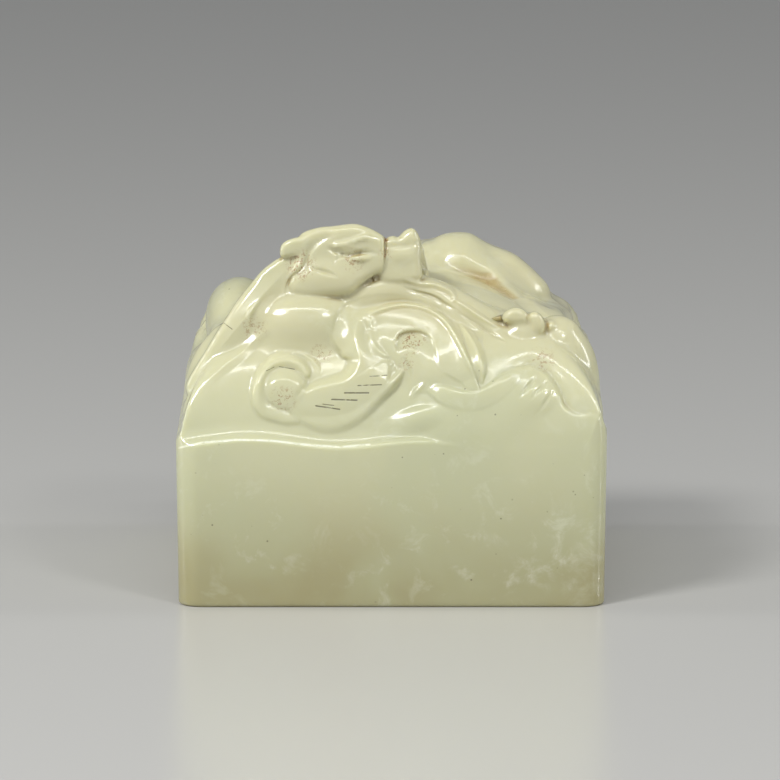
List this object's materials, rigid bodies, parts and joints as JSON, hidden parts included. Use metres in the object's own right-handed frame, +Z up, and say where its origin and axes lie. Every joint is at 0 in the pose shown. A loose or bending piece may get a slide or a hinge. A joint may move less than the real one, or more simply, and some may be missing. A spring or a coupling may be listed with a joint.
{
  "type": "jade seal stamp",
  "caption": "Square stone seal with plain upright faces and a dragon carved in high relief over its domed top, which serves as the grip.",
  "frame": {"origin": "centre of the flat underside, on the surface the seal stands on", "axes": "+Z up through the carved top, +X towards the viewer's right in the picture's front view, where the dragon's head looks; -Y is the front face"},
  "size_m": [0.042, 0.042, 0.0368],
  "materials": {
    "jade": "polished pale green-white nephrite, slightly translucent"
  },
  "bodies": {
    "root": {"jade_seal": "jade"}
  },
  "joints": []
}
